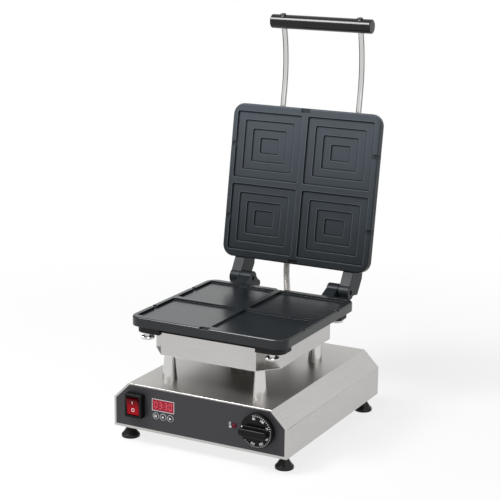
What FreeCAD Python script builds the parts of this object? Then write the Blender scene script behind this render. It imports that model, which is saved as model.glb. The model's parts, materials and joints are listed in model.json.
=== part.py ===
import FreeCAD, Part
import Sketcher
import math
import os

# Two-plate contact iron: a folded steel base carries a fixed lower plate on pillars,
# and a hinged upper plate with a bar handle stands open behind it.
# +X is the operator's right, +Y runs to the back and +Z is up. The origin lies on the
# table, under the middle of the open machine.

SIZES = {
    # base cabinet
    "front_setback": 212.0,
    "base_width": 320.0,
    "base_depth": 360.0,
    "base_clearance": 25.0,
    "side_height": 50.0,
    "shoulder": 28.0,
    "sheet": 1.5,
    "sheet_gap": 0.2,
    # front panel
    "panel_sheet": 1.2,
    "panel_side_border": 4.5,
    "panel_top_border": 2.5,
    "panel_bottom_border": 5.0,
    # feet
    "foot_radius": 15.5,
    "foot_neck_radius": 9.0,
    "foot_lip": 5.0,
    "foot_neck": 3.0,
    "foot_collar": 3.0,
    "foot_stud_radius": 4.0,
    "foot_collar_radius": 6.5,
    "foot_stud_sink": 10.0,
    "foot_stud_rise": 9.0,
    "foot_inset_x": 16.0,
    "foot_inset_front": 25.0,
    "foot_inset_rear": 26.0,
    "fixed_fit": 0.05,
    # pillars and wiring column
    "pillar_height": 47.0,
    "pillar_foot_radius": 12.5,
    "pillar_top_radius": 8.5,
    "pillar_inset_x": 32.0,
    "pillar_inset_y": 22.0,
    "column_radius": 23.0,
    "column_wall": 2.0,
    # baking plates
    "plate_centre": 155.0,
    "plate_width": 286.0,
    "plate_length": 276.0,
    "plate_thickness": 16.0,
    "plate_corner": 21.0,
    "plate_edge": 3.0,
    "rim_x": 9.5,
    "rim_y": 13.5,
    "cell_rib": 11.0,
    "cell_corner": 4.0,
    "cell_depth": 3.5,
    "core_length": 29.0,
    "step_depth": 2.5,
    "first_step": 3.5,
    "vent_width": 8.0,
    "rib_vent_width": 17.0,
    "rib_vent_reach": 8.0,
    "vent_depth": 2.5,
    # heater plates and their elements
    "heater_margin": 8.0,
    "heater_thickness": 12.0,
    "element_radius": 4.0,
    "element_loop": 76.0,
    # tray under the lower plate and casing over the upper one
    "tray_inset_x": 27.0,
    "tray_inset_y": 13.0,
    "tray_height": 34.0,
    "tray_notch_x": 28.0,
    "tray_notch_y": 32.0,
    "skirt_gap": 7.5,
    "skirt_fit": 0.5,
    "casing_height": 41.5,
    # thumb screws
    "screw_inset_x": 28.0,
    "screw_inset_y": 17.0,
    "screw_head_radius": 11.25,
    "screw_head": 4.0,
    "screw_hub_radius": 5.0,
    "screw_hub": 6.0,
    "screw_shank_radius": 3.0,
    "screw_reach": 5.0,
    "screw_end_room": 1.0,
    "moving_gap": 0.3,
    "running_fit": 0.05,
    # hinge
    "lid_open_angle": 99.0,
    "hinge_offset": 35.0,
    "parting_gap": 1.0,
    "barrel_radius": 13.0,
    "pin_radius": 4.0,
    "pin_recess": 3.5,
    "lug_width": 21.5,
    "hinge_side_gap": 0.5,
    "arm_width": 20.0,
    "arm_inset": 26.0,
    "arm_height": 44.0,
    "arm_flat": 13.0,
    "arm_heel": 6.0,
    "arm_heel_low": 16.0,
    "arm_heel_high": 30.0,
    "stop_radius": 4.0,
    "stop_length": 12.0,
    "stop_boss": 7.0,
    # handle
    "rod_radius": 5.0,
    "rod_inset": 13.5,
    "rod_drop": 10.0,
    "rod_sink": 40.0,
    "bend_lead": 34.0,
    "grip_lead": 150.0,
    "grip_height": 34.0,
    "grip_radius": 12.5,
    "grip_overhang": 22.5,
    "grip_edge": 1.5,
    "cap_radius": 5.5,
    "cap_height": 1.8,
    "cap_round": 0.8,
    "cap_gap": 0.1,
    # wiring conduit
    "conduit_radius": 6.0,
    "conduit_lid_run": 20.0,
    "gland_radius": 10.0,
    "gland_bore": 4.5,
    "base_gland_x": 0.0,
    "base_gland_lead": 10.0,
    "base_gland_height": 16.0,
    "lid_gland_x": -30.0,
    "lid_gland_rise": 1.5,
    "lid_gland_length": 10.0,
    # rocker switch
    "switch_inset": 44.0,
    "switch_rise": 44.0,
    "bezel_border": 3.0,
    "bezel_depth": 12.0,
    "bezel_round": 2.5,
    "switch_wall": 1.5,
    "switch_body_depth": 27.0,
    "well_depth": 16.0,
    "rocker_width": 22.4,
    "rocker_height": 27.0,
    "rocker_front": 8.0,
    "rocker_dish": 1.6,
    "rocker_back": 2.0,
    "rocker_pivot": 6.0,
    "rocker_tilt": 8.0,
    "rocker_side_gap": 0.4,
    "rocker_pin_radius": 1.5,
    "rocker_pin": 0.9,
    # timer
    "display_inset": 95.0,
    "display_rise": 49.7,
    "display_width": 40.0,
    "display_height": 18.5,
    "display_lip": 2.0,
    "button_rise": 30.7,
    "button_pitch": 13.7,
    "button_radius": 4.2,
    "button_proud": 1.0,
    "button_length": 6.7,
    "button_travel": 0.8,
    "module_width": 52.0,
    "module_height": 38.0,
    "module_depth": 20.0,
    # lamp
    "lamp_inset": 93.0,
    "lamp_rise": 41.0,
    "lamp_radius": 3.0,
    "lamp_flange": 4.5,
    "lamp_flange_depth": 1.0,
    "lamp_dome": 2.5,
    "lamp_length": 14.0,
    # thermostat
    "knob_inset": 49.0,
    "knob_rise": 42.0,
    "knob_radius": 28.5,
    "knob_skirt": 8.5,
    "knob_stand_off": 1.5,
    "knob_edge": 1.5,
    "wing_depth": 15.0,
    "wing_width": 12.0,
    "wing_length": 49.0,
    "wing_round": 4.0,
    "shaft_radius": 3.0,
    "shaft_in_knob": 16.0,
    "shaft_in_body": 14.0,
    "shaft_hole": 4.0,
    "thermostat_size": 42.0,
    "thermostat_depth": 30.0,
    # rear panel and wiring
    "vent_slot_width": 4.0,
    "vent_slot_height": 34.0,
    "vent_slot_pitch": 12.0,
    "vent_slot_rise": 37.0,
    "mains_inset": 60.0,
    "mains_rise": 33.0,
    "mains_bore": 4.0,
    "mains_radius": 9.0,
    "mains_flange": 13.0,
    "mains_flange_depth": 4.0,
    "mains_outside": 17.0,
    "mains_inside": 9.0,
    "terminal_x": 60.0,
    "terminal_inset": 75.0,
    "terminal_width": 62.0,
    "terminal_length": 22.0,
    "terminal_height": 20.0,
}

# Rear slots left and right of the panel's middle, and levels of the upper recesses.
VENT_SLOTS = 7
RECESS_STEPS = 4

# Proportions: how nearly round a slot's end is, how far a hinge web spreads over its barrel
# at the root, flank and back, and the flat crown and front rounding of the lamp and bezel.
SLOT_ROUNDING = 0.45
WEB_ROOT = 0.9
WEB_FLANK = 0.6
WEB_BACK = 0.3
LAMP_CROWN = 0.6
BEZEL_ROUNDING = 0.6

# Middle points of the conduit, as steps in X, Y and Z from the mouth of its base gland.
# Its last run, at the lid, lies along the axis of the lid gland.
CONDUIT_ROUTE = [
    (0.0, 0.0, 21.0),
    (-3.2, 6.0, 40.9),
    (-9.4, 17.3, 57.5),
    (-17.7, 32.7, 69.0),
    (-24.8, 44.7, 85.0),
]

doc = FreeCAD.newDocument("ContactIron")
sheet = doc.addObject("Spreadsheet::Sheet", "Sizes")
for row, (alias, number) in enumerate(SIZES.items(), start=1):
    sheet.set(f"A{row}", alias)
    sheet.set(f"B{row}", str(number))
    sheet.setAlias(f"B{row}", alias)
doc.recompute()


class Size:
    # A number together with the sheet formula that gives it.
    def __init__(self, value, formula):
        self.value = value
        self.formula = formula

    def __add__(self, other):
        other = as_size(other)
        return Size(self.value + other.value, f"({self.formula} + {other.formula})")

    def __radd__(self, other):
        return as_size(other) + self

    def __sub__(self, other):
        other = as_size(other)
        return Size(self.value - other.value, f"({self.formula} - {other.formula})")

    def __rsub__(self, other):
        return as_size(other) - self

    def __mul__(self, other):
        other = as_size(other)
        return Size(self.value * other.value, f"({self.formula} * {other.formula})")

    def __rmul__(self, other):
        return as_size(other) * self

    def __truediv__(self, other):
        other = as_size(other)
        return Size(self.value / other.value, f"({self.formula} / {other.formula})")

    def __neg__(self):
        return Size(-self.value, f"(-1 * {self.formula})")


def as_size(number):
    return number if isinstance(number, Size) else Size(float(number), repr(float(number)))


def sine(angle):
    return Size(math.sin(math.radians(angle.value)), f"sin({angle.formula} * 1 deg)")


def cosine(angle):
    return Size(math.cos(math.radians(angle.value)), f"cos({angle.formula} * 1 deg)")


def root(number):
    return Size(math.sqrt(number.value), f"sqrt({number.formula})")


class Named:
    # Every size of the sheet as an attribute.
    def __init__(self, names):
        for name in names:
            setattr(self, name, Size(float(sheet.get(name)), f"Sizes.{name}"))


d = Named(SIZES)
parts = []


def place(x, y, z, turn=0.0):
    # Placement formula: a shift, and a turn about the X axis.
    x, y, z, turn = (as_size(number).formula for number in (x, y, z, turn))
    return f"placement(vector({x}; {y}; {z}); rotation(vector(1; 0; 0); {turn}))"


def new_body(node, placement=None):
    body = doc.addObject("PartDesign::Body", node)
    body.Label = node
    if placement:
        body.setExpression("Placement", placement)
    parts.append(body)
    return body


def new_drawing(body, plane, level, outlines):
    drawing = body.newObject("Sketcher::SketchObject", "Outline")
    support = [item for item in body.Origin.OriginFeatures if item.Role == plane + "_Plane"]
    drawing.AttachmentSupport = [(support[0], "")]
    drawing.MapMode = "FlatFace"
    level = -as_size(level) if plane == "XZ" else as_size(level)
    drawing.setExpression("AttachmentOffset.Base.z", level.formula)
    for outline in outlines:
        outline(drawing)
    return drawing


def set_constraint(drawing, number, *what):
    number = as_size(number)
    index = drawing.addConstraint(Sketcher.Constraint(*what, number.value))
    drawing.setExpression(f"Constraints[{index}]", number.formula)


def flat(point):
    return FreeCAD.Vector(as_size(point[0]).value, as_size(point[1]).value, 0)


def polygon(*corners):
    def draw(drawing):
        first = drawing.GeometryCount
        count = len(corners)
        for i, corner in enumerate(corners):
            drawing.addGeometry(Part.LineSegment(flat(corner), flat(corners[(i + 1) % count])))
        for i, corner in enumerate(corners):
            following = first + (i + 1) % count
            drawing.addConstraint(Sketcher.Constraint("Coincident", first + i, 2, following, 1))
            set_constraint(drawing, corner[0], "DistanceX", -1, 1, first + i, 1)
            set_constraint(drawing, corner[1], "DistanceY", -1, 1, first + i, 1)
    return draw


def circle(centre, radius):
    def draw(drawing):
        index = drawing.GeometryCount
        radius_now = as_size(radius).value
        drawing.addGeometry(Part.Circle(flat(centre), FreeCAD.Vector(0, 0, 1), radius_now))
        set_constraint(drawing, centre[0], "DistanceX", -1, 1, index, 3)
        set_constraint(drawing, centre[1], "DistanceY", -1, 1, index, 3)
        set_constraint(drawing, radius, "Radius", index)
    return draw


def box(low, high):
    return polygon(low, (high[0], low[1]), high, (low[0], high[1]))


def rounded_box(low, high, radius):
    x0, y0, x1, y1, r = (as_size(number) for number in (*low, *high, radius))

    def arc(x, y, start):
        whole = Part.Circle(flat((x, y)), FreeCAD.Vector(0, 0, 1), r.value)
        return Part.ArcOfCircle(whole, math.radians(start), math.radians(start + 90))

    def draw(drawing):
        first = drawing.GeometryCount
        drawing.addGeometry([
            Part.LineSegment(flat((x0 + r, y0)), flat((x1 - r, y0))),
            arc(x1 - r, y0 + r, -90),
            Part.LineSegment(flat((x1, y0 + r)), flat((x1, y1 - r))),
            arc(x1 - r, y1 - r, 0),
            Part.LineSegment(flat((x1 - r, y1)), flat((x0 + r, y1))),
            arc(x0 + r, y1 - r, 90),
            Part.LineSegment(flat((x0, y1 - r)), flat((x0, y0 + r))),
            arc(x0 + r, y0 + r, 180),
        ])
        for i in range(8):
            following = first + (i + 1) % 8
            drawing.addConstraint(Sketcher.Constraint("Tangent", first + i, 2, following, 1))
        for i in (3, 5, 7):
            drawing.addConstraint(Sketcher.Constraint("Equal", first + 1, first + i))
        for i, direction in ((0, "Horizontal"), (2, "Vertical"), (4, "Horizontal"), (6, "Vertical")):
            drawing.addConstraint(Sketcher.Constraint(direction, first + i))
        set_constraint(drawing, r, "Radius", first + 1)
        set_constraint(drawing, y0, "DistanceY", -1, 1, first, 1)
        set_constraint(drawing, x1, "DistanceX", -1, 1, first + 2, 1)
        set_constraint(drawing, y1, "DistanceY", -1, 1, first + 4, 1)
        set_constraint(drawing, x0, "DistanceX", -1, 1, first + 6, 1)
    return draw


def centred(x, y, width, height):
    # Low and high corners of a box about a point.
    return (x - width / 2, y - height / 2), (x + width / 2, y + height / 2)


def extrude(body, plane, low, high, *outlines):
    # Adds the outlines' inside between two levels of the plane's own axis.
    drawing = new_drawing(body, plane, high if plane == "XZ" else low, outlines)
    feature = body.newObject("PartDesign::Pad", "Extrusion")
    feature.Profile = drawing
    feature.setExpression("Length", (as_size(high) - low).formula)
    return feature


def cut(body, plane, low, high, *outlines):
    # Removes the outlines' inside between two levels of the plane's own axis.
    drawing = new_drawing(body, plane, low if plane == "XZ" else high, outlines)
    feature = body.newObject("PartDesign::Pocket", "Cut")
    feature.Profile = drawing
    feature.setExpression("Length", (as_size(high) - low).formula)
    return feature


def revolve(body, plane, *outlines):
    # Turns a half section, drawn with its own Y axis as the middle line, through a full turn.
    drawing = new_drawing(body, plane, 0, outlines)
    feature = body.newObject("PartDesign::Revolution", "Turning")
    feature.Profile = drawing
    feature.ReferenceAxis = (drawing, ["V_Axis"])
    feature.Angle = 360
    return feature


def round_edges(body, feature, radius, chosen):
    doc.recompute()
    edges = [f"Edge{i}" for i, edge in enumerate(feature.Shape.Edges, start=1) if chosen(edge)]
    rounding = body.newObject("PartDesign::Fillet", "Rounding")
    rounding.Base = (feature, edges)
    rounding.setExpression("Radius", as_size(radius).formula)
    return rounding


def lies_at(axis, level):
    # Chooses the edges that lie wholly at one level of an axis.
    tolerance = 1e-4

    def chosen(edge):
        limits = edge.BoundBox
        low = getattr(limits, axis + "Min")
        high = getattr(limits, axis + "Max")
        return abs(low - as_size(level).value) < tolerance and abs(high - as_size(level).value) < tolerance
    return chosen


def add_primitive(kind, node, placement, **sizes):
    piece = doc.addObject(kind, node)
    piece.Label = node
    for name, number in sizes.items():
        piece.setExpression(name, as_size(number).formula)
    piece.setExpression("Placement", placement)
    parts.append(piece)
    return piece


# Levels and places that many pieces share.
front = -d.front_setback
rear = front + d.base_depth
half_width = d.base_width / 2
shoulder_z = d.base_clearance + d.side_height
base_top = shoulder_z + d.shoulder
inner_front = front + d.sheet
panel_front = front - d.panel_sheet
switch_x = d.switch_inset - half_width
switch_z = d.base_clearance + d.switch_rise
display_x = d.display_inset - half_width
display_z = d.base_clearance + d.display_rise
button_z = d.base_clearance + d.button_rise
lamp_x = half_width - d.lamp_inset
lamp_z = d.base_clearance + d.lamp_rise
knob_x = half_width - d.knob_inset
knob_z = d.base_clearance + d.knob_rise
mains_x = half_width - d.mains_inset
mains_z = d.base_clearance + d.mains_rise
tray_bottom = base_top + d.pillar_height
tray_top = tray_bottom + d.tray_height
plate_bottom = tray_top + d.heater_thickness
plate_top = plate_bottom + d.plate_thickness
plate_y = front + d.plate_centre
hinge_y = plate_y + d.plate_length / 2 + d.hinge_offset
hinge_z = plate_top + d.parting_gap / 2
tray_width = d.plate_width - 2 * d.tray_inset_x
tray_length = d.plate_length - 2 * d.tray_inset_y
cell_width = (d.plate_width - d.cell_rib) / 2 - d.rim_x
cell_length = (d.plate_length - d.cell_rib) / 2 - d.rim_y
lid = place(0, hinge_y, hinge_z, -d.lid_open_angle)

# In the lid's own frame the hinge line is the origin, the closed lid lies level and
# reaches towards -Y, and its baking face looks down.
base_gland_y = hinge_y - d.base_gland_lead
lid_plate_y = -(d.hinge_offset + d.plate_length / 2)
lid_face = d.parting_gap / 2
lid_heater_low = lid_face + d.plate_thickness
lid_heater_high = lid_heater_low + d.heater_thickness
lid_top = lid_heater_high + d.casing_height
lid_front = d.hinge_offset + d.plate_length
rod_x = tray_width / 2 - d.tray_notch_x - d.rod_inset
rod_height = lid_top - d.rod_drop
lid_gland_height = lid_heater_high + d.gland_radius + d.lid_gland_rise


def cabinet_outline(inset, low):
    # Section of the cabinet: upright sides, 45 degree shoulders and a flat top.
    corner_shift = (math.sqrt(2) - 1) * inset
    side = half_width - inset
    ridge = half_width - d.shoulder - corner_shift
    high = base_top - inset
    bend = shoulder_z - corner_shift
    return polygon((-side, low), (side, low), (side, bend), (ridge, high), (-ridge, high), (-side, bend))


def corner_places(pitch_x, pitch_y, centre_y):
    # Names and positions of the four corners of a rectangle.
    return [
        (depth + "_" + side, sign_x * pitch_x / 2, centre_y + sign_y * pitch_y / 2)
        for depth, sign_y in (("front", -1), ("rear", 1))
        for side, sign_x in (("left", -1), ("right", 1))]


foot_pitch_y = d.base_depth - d.foot_inset_front - d.foot_inset_rear
foot_centre = front + d.foot_inset_front + foot_pitch_y / 2
foot_places = corner_places(d.base_width - 2 * d.foot_inset_x, foot_pitch_y, foot_centre)
pillar_places = corner_places(
    tray_width - 2 * d.pillar_inset_x, tray_length - 2 * d.pillar_inset_y, plate_y)
screw_pitch_x = d.plate_width - 2 * d.screw_inset_x
screw_pitch_y = d.plate_length - 2 * d.screw_inset_y
screw_places = corner_places(screw_pitch_x, screw_pitch_y, plate_y)
lid_screw_places = corner_places(screw_pitch_x, screw_pitch_y, lid_plate_y)
button_places = [(name, display_x + step * d.button_pitch)
                 for name, step in (("set", -1), ("up", 0), ("down", 1))]


# The switch's well clears the rocker as it turns, and its body and bezel stand round the well.
rocker_sweep = root((d.rocker_height / 2) * (d.rocker_height / 2) + d.rocker_front * d.rocker_front)
well_width = d.rocker_width + 2 * d.rocker_side_gap
well_height = 2 * (rocker_sweep + d.moving_gap)
switch_body_width = well_width + 2 * d.switch_wall
switch_body_height = well_height + 2 * d.switch_wall


def front_holes(extra):
    # Openings that the panel and the cabinet's front wall share.
    switch = box(*centred(switch_x, switch_z,
                          switch_body_width + 2 * d.sheet_gap, switch_body_height + 2 * d.sheet_gap))
    buttons = [circle((x, button_z), d.button_radius + d.moving_gap) for name, x in button_places]
    lamp = circle((lamp_x, lamp_z), d.lamp_radius + d.fixed_fit)
    shaft = circle((knob_x, knob_z), d.shaft_hole)
    return [switch, lamp, shaft, extra] + buttons


def make_cabinet():
    body = new_body("base_housing")
    extrude(body, "XZ", front, rear, cabinet_outline(as_size(0), d.base_clearance))
    cut(body, "XZ", inner_front, rear, cabinet_outline(d.sheet, d.base_clearance))
    display_hole = box(*centred(display_x, display_z,
                                d.display_width - 2 * d.display_lip, d.display_height - 2 * d.display_lip))
    cut(body, "XZ", front, inner_front, *front_holes(display_hole))
    column_hole = circle((0, plate_y), d.column_radius - d.column_wall)
    gland_hole = circle((d.base_gland_x, base_gland_y), d.gland_bore)
    cut(body, "XY", base_top - d.sheet, base_top, column_hole, gland_hole)

    body = new_body("control_panel")
    side = half_width - d.panel_side_border
    ridge = half_width - d.shoulder - d.panel_top_border
    low = d.base_clearance + d.panel_bottom_border
    high = base_top - d.panel_top_border
    bend = high - (side - ridge)
    outline = polygon((-side, low), (side, low), (side, bend), (ridge, high), (-ridge, high), (-side, bend))
    extrude(body, "XZ", panel_front, front, outline)
    display_hole = box(*centred(display_x, display_z, d.display_width, d.display_height))
    cut(body, "XZ", panel_front, front, *front_holes(display_hole))

    body = new_body("base_floor")
    reach = half_width - d.sheet - d.sheet_gap
    floor_top = d.base_clearance + d.sheet
    extrude(body, "XY", d.base_clearance, floor_top,
            box((-reach, inner_front + d.sheet_gap), (reach, rear - d.sheet - d.sheet_gap)),
            *[circle((x, y), d.foot_stud_radius + d.fixed_fit) for name, x, y in foot_places])

    body = new_body("rear_panel")
    inset = d.sheet + d.sheet_gap
    extrude(body, "XZ", rear - d.sheet, rear, cabinet_outline(inset, d.base_clearance))
    slot_z = d.base_clearance + d.vent_slot_rise
    slots = [
        rounded_box(*centred(i * d.vent_slot_pitch, slot_z, d.vent_slot_width, d.vent_slot_height),
                    d.vent_slot_width * SLOT_ROUNDING)
        for i in range(-(VENT_SLOTS // 2), VENT_SLOTS // 2 + 1)]
    cut(body, "XZ", rear - d.sheet, rear, circle((mains_x, mains_z), d.mains_radius + d.fixed_fit), *slots)


def make_feet():
    collar_low = d.base_clearance - d.foot_collar
    bell_top = collar_low - d.foot_neck
    bore = d.foot_stud_radius + d.fixed_fit
    for name, x, y in foot_places:
        body = new_body("rubber_foot_" + name, place(x, y, 0))
        revolve(body, "XZ", polygon(
            (0, 0), (d.foot_radius, 0), (d.foot_radius, d.foot_lip), (d.foot_neck_radius, bell_top),
            (d.foot_neck_radius, collar_low), (bore, collar_low),
            (bore, d.foot_stud_sink), (0, d.foot_stud_sink)))
        body = new_body("foot_stud_" + name, place(x, y, 0))
        stud, collar = d.foot_stud_radius, d.foot_collar_radius
        stud_top = d.base_clearance + d.foot_stud_rise
        revolve(body, "XZ", polygon(
            (0, d.foot_stud_sink), (stud, d.foot_stud_sink), (stud, collar_low), (collar, collar_low),
            (collar, d.base_clearance), (stud, d.base_clearance), (stud, stud_top), (0, stud_top)))


def make_pillars():
    for name, x, y in pillar_places:
        add_primitive("Part::Cone", "support_pillar_" + name, place(x, y, base_top),
                      Radius1=d.pillar_foot_radius, Radius2=d.pillar_top_radius, Height=d.pillar_height)
    body = new_body("cable_column")
    extrude(body, "XY", base_top, tray_bottom, circle((0, plate_y), d.column_radius),
            circle((0, plate_y), d.column_radius - d.column_wall))


def notched(inset, centre_y):
    # Plan of the tray and the casing: a rectangle with square corners cut out for the screws.
    x_out = tray_width / 2 - inset
    y_out = tray_length / 2 - inset
    x_in = x_out - d.tray_notch_x
    y_in = y_out - d.tray_notch_y
    quarter = [(x_out, y_in), (x_in, y_in), (x_in, y_out)]
    corners = []
    for sign_x, sign_y in ((1, 1), (-1, 1), (-1, -1), (1, -1)):
        turn = quarter if sign_x == sign_y else quarter[::-1]
        corners += [(sign_x * x, centre_y + sign_y * y) for x, y in turn]
    return polygon(*corners)


def clipped(centre_y):
    # The same rectangle with its corners cut across.
    x_out = tray_width / 2
    y_out = tray_length / 2
    x_in = x_out - d.tray_notch_x
    y_in = y_out - d.tray_notch_y
    corners = []
    for sign_x, sign_y in ((1, 1), (-1, 1), (-1, -1), (1, -1)):
        turn = [(x_out, y_in), (x_in, y_out)]
        turn = turn if sign_x == sign_y else turn[::-1]
        corners += [(sign_x * x, centre_y + sign_y * y) for x, y in turn]
    return polygon(*corners)


def skirt_walls(centre_y):
    # The straight outer walls of the tray and the casing, which stand up round a heater plate.
    x_long = tray_width - 2 * d.tray_notch_x
    y_long = tray_length - 2 * d.tray_notch_y
    ends = [box(*centred(as_size(0), centre_y + sign * (tray_length - d.sheet) / 2, x_long, d.sheet))
            for sign in (-1, 1)]
    sides = [box(*centred(sign * (tray_width - d.sheet) / 2, centre_y, d.sheet, y_long)) for sign in (-1, 1)]
    return ends + sides


def skirt_slots(centre_y):
    # Room for those walls at the four sides of a heater plate, which leaves an ear at each corner.
    x_deep = d.tray_inset_x + d.sheet + d.skirt_fit
    y_deep = d.tray_inset_y + d.sheet + d.skirt_fit
    x_long = tray_width - 2 * d.tray_notch_x + 2 * d.skirt_fit
    y_long = tray_length - 2 * d.tray_notch_y + 2 * d.skirt_fit
    ends = [box(*centred(as_size(0), centre_y + sign * (d.plate_length - y_deep) / 2, x_long, y_deep))
            for sign in (-1, 1)]
    sides = [box(*centred(sign * (d.plate_width - x_deep) / 2, centre_y, x_deep, y_long)) for sign in (-1, 1)]
    return ends + sides


def plate_box(inset, centre_y):
    corner = d.plate_corner - inset / 2
    width = d.plate_width - 2 * inset
    length = d.plate_length - 2 * inset
    return rounded_box(*centred(as_size(0), centre_y, width, length), corner)


def cell_boxes(inset, centre_y):
    step_x = (cell_width + d.cell_rib) / 2
    step_y = (cell_length + d.cell_rib) / 2
    return [
        rounded_box(*centred(sign_x * step_x, centre_y + sign_y * step_y,
                             cell_width - 2 * inset, cell_length - 2 * inset), d.cell_corner)
        for sign_x in (-1, 1) for sign_y in (-1, 1)]


def vent_boxes(centre_y):
    # Steam notches: one at each end of the middle rib, and one in the rim beside each cell.
    half_x = d.plate_width / 2
    half_y = d.plate_length / 2
    step_y = (cell_length + d.cell_rib) / 2
    end_y = half_y - d.rib_vent_reach / 2
    ends = [box(*centred(as_size(0), centre_y + sign * end_y, d.rib_vent_width, d.rib_vent_reach))
            for sign in (-1, 1)]
    sides = [box(*centred(sign_x * (half_x - d.rim_x / 2), centre_y + sign_y * step_y, d.rim_x, d.vent_width))
             for sign_x in (-1, 1) for sign_y in (-1, 1)]
    return ends + sides


def shank_holes(places):
    return [circle((x, y), d.screw_shank_radius + d.running_fit) for name, x, y in places]


def make_lower_plates():
    body = new_body("lower_tray")
    extrude(body, "XY", tray_bottom, tray_bottom + d.sheet, clipped(plate_y),
            circle((0, plate_y), d.column_radius - d.column_wall))
    extrude(body, "XY", tray_bottom, tray_top, notched(as_size(0), plate_y), notched(d.sheet, plate_y))
    extrude(body, "XY", tray_top, plate_bottom - d.skirt_gap, *skirt_walls(plate_y))

    body = new_body("lower_heater_plate")
    extrude(body, "XY", tray_top, plate_bottom, plate_box(d.heater_margin, plate_y),
            *shank_holes(screw_places))
    cut(body, "XY", tray_top, plate_bottom, *skirt_slots(plate_y))

    add_primitive("Part::Torus", "lower_heating_element",
                  place(0, plate_y, tray_top - d.element_radius - d.fixed_fit),
                  Radius1=d.element_loop, Radius2=d.element_radius)

    body = new_body("lower_baking_plate")
    slab = extrude(body, "XY", plate_bottom, plate_top, plate_box(as_size(0), plate_y))
    round_edges(body, slab, d.plate_edge, lies_at("Z", plate_top))
    cut(body, "XY", plate_top - d.cell_depth, plate_top, *cell_boxes(as_size(0), plate_y))
    cut(body, "XY", plate_top - d.vent_depth, plate_top, *vent_boxes(plate_y))
    cut(body, "XY", plate_bottom, plate_bottom + d.screw_reach + d.screw_end_room, *shank_holes(screw_places))


def make_upper_plates():
    body = new_body("upper_baking_plate", lid)
    slab = extrude(body, "XY", lid_face, lid_heater_low, plate_box(as_size(0), lid_plate_y))
    round_edges(body, slab, d.plate_edge, lies_at("Z", lid_face))
    step_inset = (cell_length - d.core_length) / (2 * (RECESS_STEPS - 1))
    for level in range(RECESS_STEPS):
        depth = d.first_step + level * d.step_depth
        cut(body, "XY", lid_face, lid_face + depth, *cell_boxes(level * step_inset, lid_plate_y))
    cut(body, "XY", lid_face, lid_face + d.vent_depth, *vent_boxes(lid_plate_y))
    cut(body, "XY", lid_heater_low - d.screw_reach - d.screw_end_room, lid_heater_low,
        *shank_holes(lid_screw_places))

    body = new_body("upper_heater_plate", lid)
    extrude(body, "XY", lid_heater_low, lid_heater_high, plate_box(d.heater_margin, lid_plate_y),
            *shank_holes(lid_screw_places))
    cut(body, "XY", lid_heater_low, lid_heater_high, *skirt_slots(lid_plate_y))

    add_primitive("Part::Torus", "upper_heating_element",
                  lid + " * " + place(0, lid_plate_y, lid_heater_high + d.element_radius + d.fixed_fit),
                  Radius1=d.element_loop, Radius2=d.element_radius)

    body = new_body("upper_casing", lid)
    extrude(body, "XY", lid_top - d.sheet, lid_top, clipped(lid_plate_y))
    extrude(body, "XY", lid_heater_high, lid_top, notched(as_size(0), lid_plate_y),
            notched(d.sheet, lid_plate_y))
    extrude(body, "XY", lid_heater_low + d.skirt_gap, lid_heater_high, *skirt_walls(lid_plate_y))
    wall_front = lid_plate_y - tray_length / 2
    wall_rear = lid_plate_y + tray_length / 2
    cut(body, "XZ", wall_front, wall_front + d.sheet,
        *[circle((side * rod_x, rod_height), d.rod_radius + d.fixed_fit) for side in (-1, 1)])
    cut(body, "XZ", wall_rear - d.sheet, wall_rear, circle((d.lid_gland_x, lid_gland_height), d.gland_bore))


def make_thumb_screws():
    hub_top = -d.moving_gap
    hub_low = hub_top - d.screw_hub
    head_low = hub_low - d.screw_head
    tip = d.heater_thickness + d.screw_reach
    shank, hub, head = d.screw_shank_radius, d.screw_hub_radius, d.screw_head_radius
    section = polygon((0, head_low), (head, head_low), (head, hub_low), (hub, hub_low),
                      (hub, hub_top), (shank, hub_top), (shank, tip), (0, tip))
    for name, x, y in screw_places:
        body = new_body("lower_thumb_screw_" + name, place(x, y, tray_top))
        revolve(body, "XZ", section)
    for name, x, y in lid_screw_places:
        upside_down = place(x, y, lid_heater_high, 180)
        body = new_body("upper_thumb_screw_" + name, lid + " * " + upside_down)
        revolve(body, "XZ", section)


def span(side, inner, outer):
    # Low and high X of a piece on the left or the right side.
    return (inner, outer) if side > 0 else (-outer, -inner)


def turned_open(y, z):
    # A point of the closed lid's frame, as it stands when the lid is open.
    along, across = cosine(d.lid_open_angle), sine(d.lid_open_angle)
    return hinge_y + y * along + z * across, hinge_z - y * across + z * along


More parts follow.
